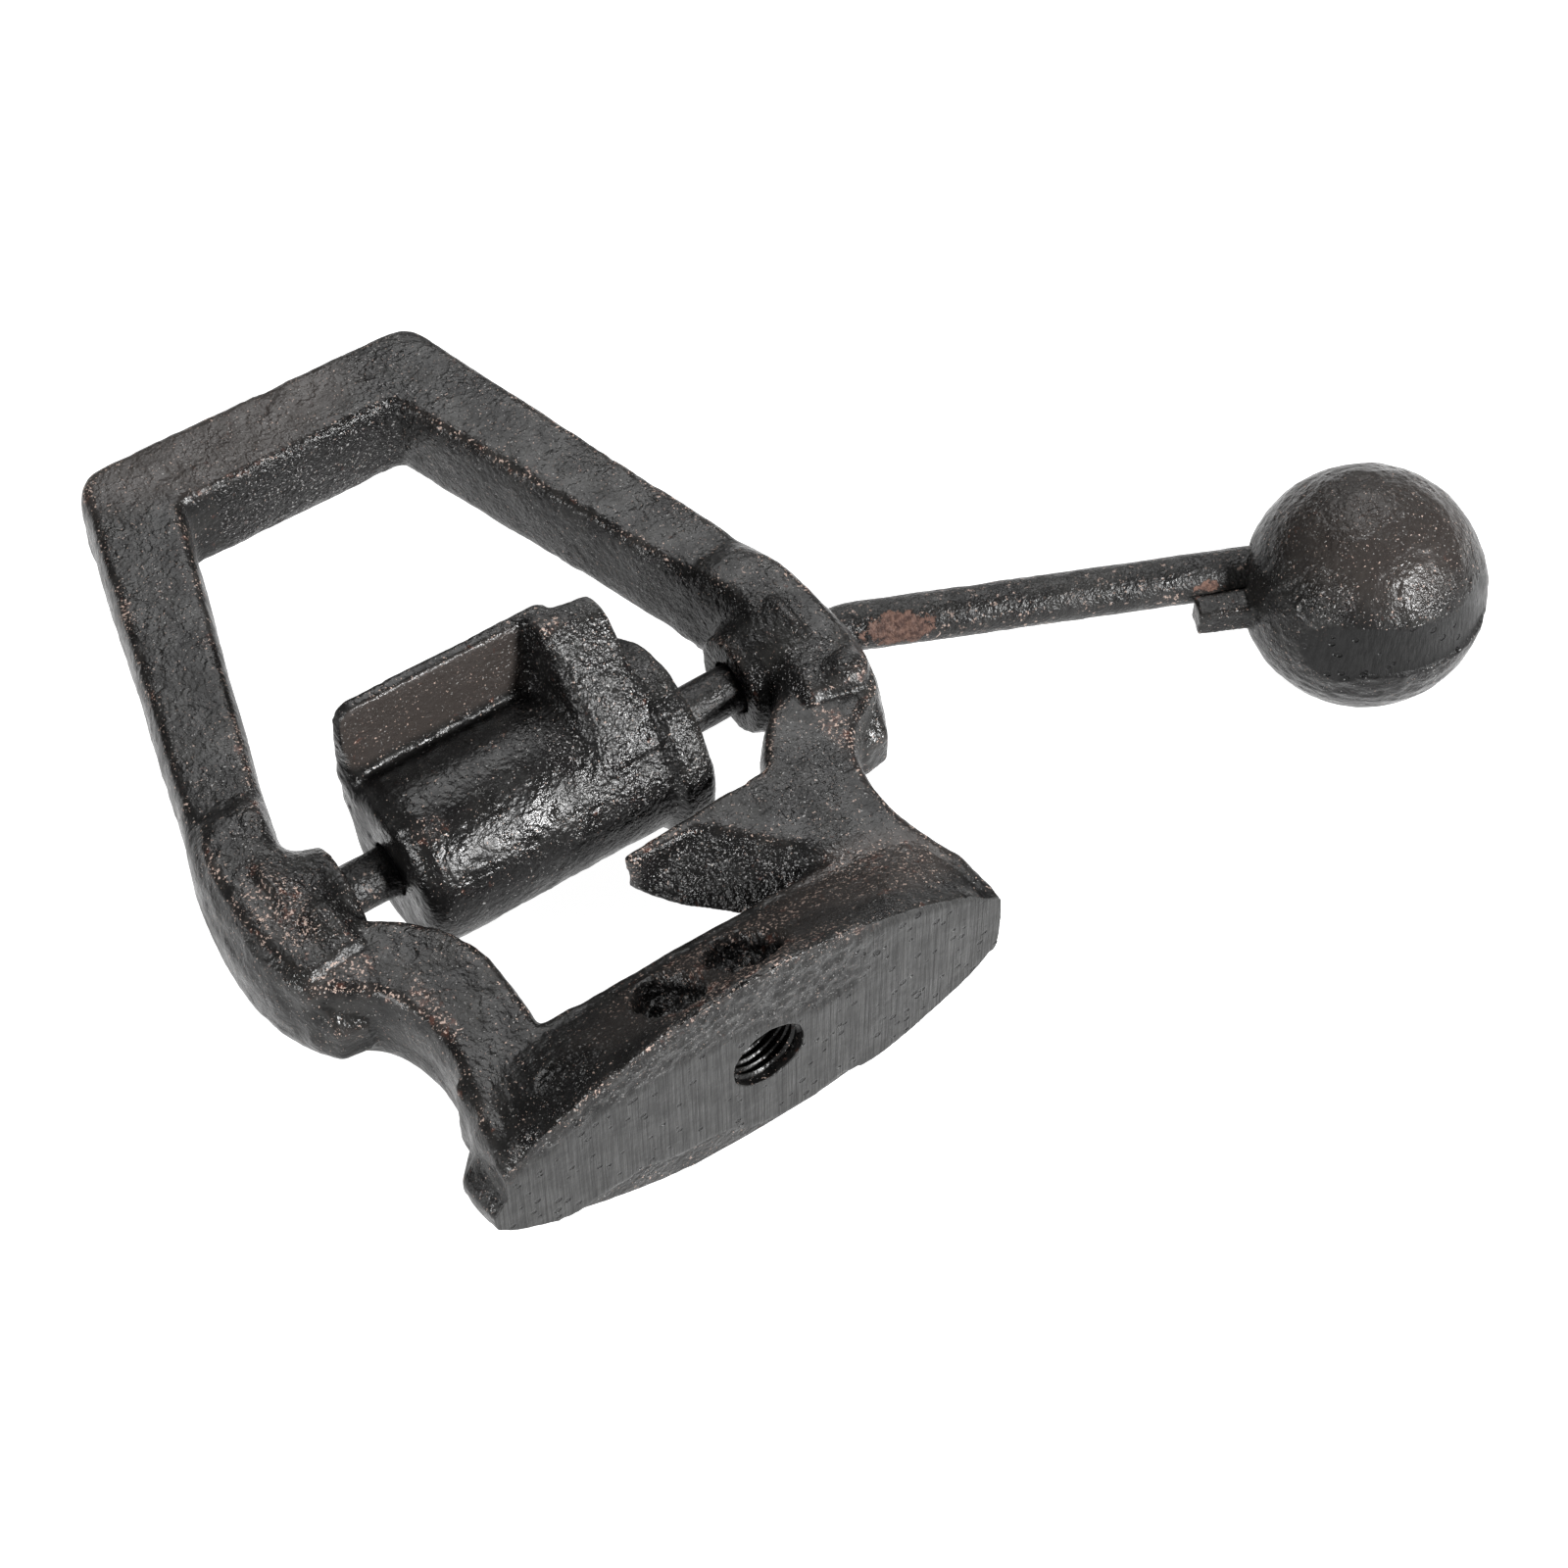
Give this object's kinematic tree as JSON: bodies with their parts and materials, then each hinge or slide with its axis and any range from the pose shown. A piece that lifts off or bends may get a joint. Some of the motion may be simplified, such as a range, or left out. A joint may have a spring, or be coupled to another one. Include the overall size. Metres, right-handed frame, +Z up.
{
  "type": "lever nutcracker",
  "caption": "Closed cast-iron frame with a drilled foot, and a winged cam on a cross-shaft that bends out into a lever with a ball weight.",
  "frame": {"origin": "bottom centre of the bounding box, lying on its back as pictured", "axes": "+X along the shaft towards the lever and ball, +Y from the foot's ground face towards the far bar, +Z up out of the frame's face"},
  "size_m": [0.2042, 0.1502, 0.047],
  "materials": {
    "black_cast_iron": "worn black paint on rough cast iron, satin with glossy patches",
    "black_rod": "worn black paint on round steel rod, satin",
    "bare_pin": "plain steel, dull"
  },
  "bodies": {
    "frame": {"frame": "black_cast_iron"},
    "rotor": {"lever_shaft": "black_rod", "cam": "black_cast_iron", "cam_pin": "bare_pin", "ball": "black_cast_iron"}
  },
  "joints": [
    {"name": "cam_pivot", "type": "hinge", "parent": "frame", "child": "rotor", "pos_m": [-0.04721, -0.01585, 0.0204], "axis": [1, 0, 0], "range_deg": [-215, 75]}
  ]
}
